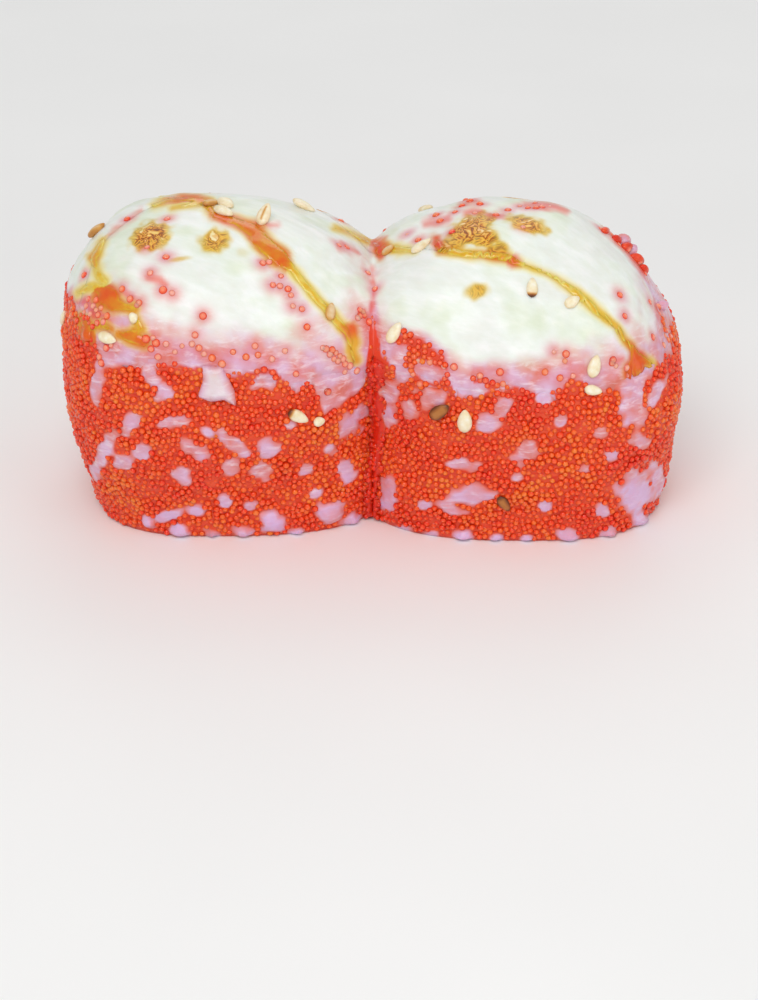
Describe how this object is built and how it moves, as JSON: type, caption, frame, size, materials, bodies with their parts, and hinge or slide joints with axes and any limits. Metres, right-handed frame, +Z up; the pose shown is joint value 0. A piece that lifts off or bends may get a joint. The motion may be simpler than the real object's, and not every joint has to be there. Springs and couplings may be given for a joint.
{
  "type": "sushi roll",
  "caption": "Sushi roll coated with red fish roe and draped with slices of torched white fish, with golden sauce and sesame seeds.",
  "frame": {"origin": "on the surface that the roll stands on, under the middle of its outline", "axes": "+X along the roll through both slices, -Y towards the front, +Z up"},
  "size_m": [0.0878, 0.0414, 0.0429],
  "materials": {
    "roe_rice": "wet fish roe over pink-stained sticky rice",
    "fish": "moist white fish with torched spots",
    "sauce": "thin golden-orange sauce",
    "sesame": "toasted sesame seed"
  },
  "bodies": {
    "root": {"roe_rice_left": "roe_rice", "roe_rice_right": "roe_rice", "fish_end": "fish", "fish_left": "fish", "fish_middle": "fish", "fish_right": "fish"}
  },
  "joints": []
}
